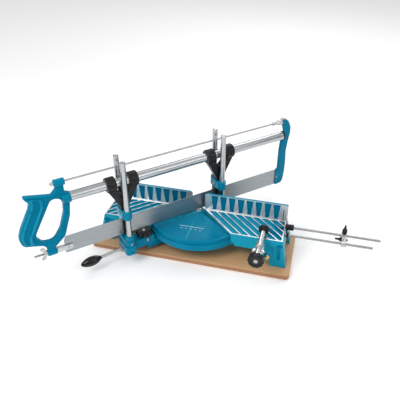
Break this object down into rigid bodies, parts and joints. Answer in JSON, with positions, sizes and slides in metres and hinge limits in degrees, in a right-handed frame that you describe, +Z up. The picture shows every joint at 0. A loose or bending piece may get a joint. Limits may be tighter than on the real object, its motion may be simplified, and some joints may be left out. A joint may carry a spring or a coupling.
{
  "type": "precision mitre saw",
  "caption": "Framed mitre saw: a tensioned blade slides in guides on posts over a cast, ribbed bed with fence, angle-setting arm, work clamp and length stop, on a board.",
  "frame": {"origin": "on the swing pivot's axis, at the underside of the wooden board", "axes": "+X along the fence to the length stop, +Y from the operator to the back, +Z up"},
  "size_m": [0.7061, 0.4747, 0.26],
  "materials": {
    "blue_paint": "gloss enamel on a casting",
    "chrome": "bright plated",
    "black_plastic": "moulded, satin",
    "zinc": "plated die casting",
    "brass": "yellow passivated",
    "blade_steel": "ground",
    "board_wood": "sealed fibreboard, rounded edge",
    "steel": "plated"
  },
  "bodies": {
    "base": {"base_board": "board_wood", "bed_casting": "blue_paint", "bed_screw_1": "steel", "bed_screw_2": "steel", "bed_screw_3": "steel", "bed_screw_4": "steel", "pivot_bolt": "chrome", "pivot_nut": "steel", "clamp_bracket": "zinc", "clamp_bracket_screw": "brass", "stop_rod_rear": "steel", "stop_rod_front": "steel", "stop_rod_nut": "steel"},
    "swing_arm": {"swing_arm": "blue_paint", "front_post_near": "chrome", "front_post_far": "chrome", "rear_post_near": "chrome", "rear_post_far": "chrome", "post_screw_front_near": "steel", "post_screw_front_far": "steel", "post_screw_rear_near": "steel", "post_screw_rear_far": "steel", "arm_side_screw": "steel", "lock_stud": "steel", "lever_pin": "steel", "lever_spring": "steel"},
    "lock_knob": {"lock_knob": "black_plastic"},
    "index_lever": {"index_lever": "steel", "lever_knob": "black_plastic"},
    "front_guide": {"front_saddle": "blue_paint", "front_v_guide": "black_plastic", "front_guide_screw": "steel"},
    "rear_guide": {"rear_saddle": "blue_paint", "rear_v_guide": "black_plastic", "rear_guide_screw": "steel"},
    "saw_frame": {"handle": "blue_paint", "far_bracket": "blue_paint", "main_tube": "chrome", "tube_end_ring": "black_plastic", "tension_rod": "steel", "tension_rod_nut": "zinc", "tension_rod_sleeve": "zinc", "blade": "blade_steel", "blade_clevis": "zinc", "blade_pin_near": "steel", "blade_pin_far": "steel", "tension_screw": "steel"},
    "tension_nut": {"tension_wing_nut": "zinc"},
    "clamp_slide": {"clamp_pad": "black_plastic"},
    "clamp_screw": {"clamp_spindle": "steel", "clamp_knob": "black_plastic"},
    "clamp_lock_nut": {"clamp_wing_nut": "zinc"},
    "stop_block": {"stop_block": "zinc"},
    "stop_lock_screw": {"stop_lock_screw": "black_plastic"},
    "stop_face_screw": {"stop_face_screw": "black_plastic"},
    "rod_collar": {"stop_rod_collar": "black_plastic"}
  },
  "joints": [
    {"name": "arm_swing", "type": "hinge", "parent": "base", "child": "swing_arm", "pos_m": [0, 0, 0.03], "axis": [0, 0, 1], "range_deg": [0, 81]},
    {"name": "arm_lock", "type": "hinge", "parent": "swing_arm", "child": "lock_knob", "pos_m": [-0.10253, -0.10253, 0.06], "axis": [0, 0, 1], "continuous": true},
    {"name": "lever_pivot", "type": "hinge", "parent": "swing_arm", "child": "index_lever", "pos_m": [-0.13152, -0.13152, 0.035], "axis": [-0.7071, 0.7071, 0], "range_deg": [0, 7], "stiffness_Nm_per_rad": 0.8, "springref_deg": -8.59, "deforming": ["lever_spring"]},
    {"name": "front_lift", "type": "slide", "parent": "swing_arm", "child": "front_guide", "axis": [0, 0, 1], "range_m": [0, 0.1]},
    {"name": "rear_lift", "type": "slide", "parent": "swing_arm", "child": "rear_guide", "axis": [0, 0, 1], "range_m": [0, 0.1]},
    {"name": "saw_stroke", "type": "slide", "parent": "front_guide", "child": "saw_frame", "axis": [0.7071, 0.7071, 0], "range_m": [-0.133, 0.065]},
    {"name": "tension_turn", "type": "hinge", "parent": "saw_frame", "child": "tension_nut", "pos_m": [-0.25668, -0.25668, 0.088], "axis": [0.7071, 0.7071, 0], "continuous": true},
    {"name": "clamp_travel", "type": "slide", "parent": "base", "child": "clamp_slide", "axis": [0, 1, 0], "range_m": [-0.012, 0.012]},
    {"name": "clamp_turn", "type": "hinge", "parent": "clamp_slide", "child": "clamp_screw", "pos_m": [0.163, -0.061, 0.086], "axis": [0, 1, 0], "range_deg": [-1440, 1440]},
    {"name": "clamp_lock", "type": "hinge", "parent": "base", "child": "clamp_lock_nut", "pos_m": [0.163, -0.1273, 0.086], "axis": [0, 1, 0], "continuous": true},
    {"name": "stop_travel", "type": "slide", "parent": "base", "child": "stop_block", "axis": [1, 0, 0], "range_m": [-0.1, 0.05]},
    {"name": "stop_lock", "type": "hinge", "parent": "stop_block", "child": "stop_lock_screw", "pos_m": [0.336, -0.01, 0.0743], "axis": [0, 0, 1], "continuous": true},
    {"name": "stop_adjust", "type": "hinge", "parent": "stop_block", "child": "stop_face_screw", "pos_m": [0.3307, -0.025, 0.066], "axis": [1, 0, 0], "continuous": true},
    {"name": "collar_turn", "type": "hinge", "parent": "base", "child": "rod_collar", "pos_m": [0.211, -0.01, 0.066], "axis": [1, 0, 0], "continuous": true}
  ],
  "couplings": [
    {"joint": "rear_lift", "follows": "front_lift", "ratio": 1},
    {"joint": "clamp_turn", "follows": "clamp_travel", "rad_per_m": 2094.4}
  ]
}
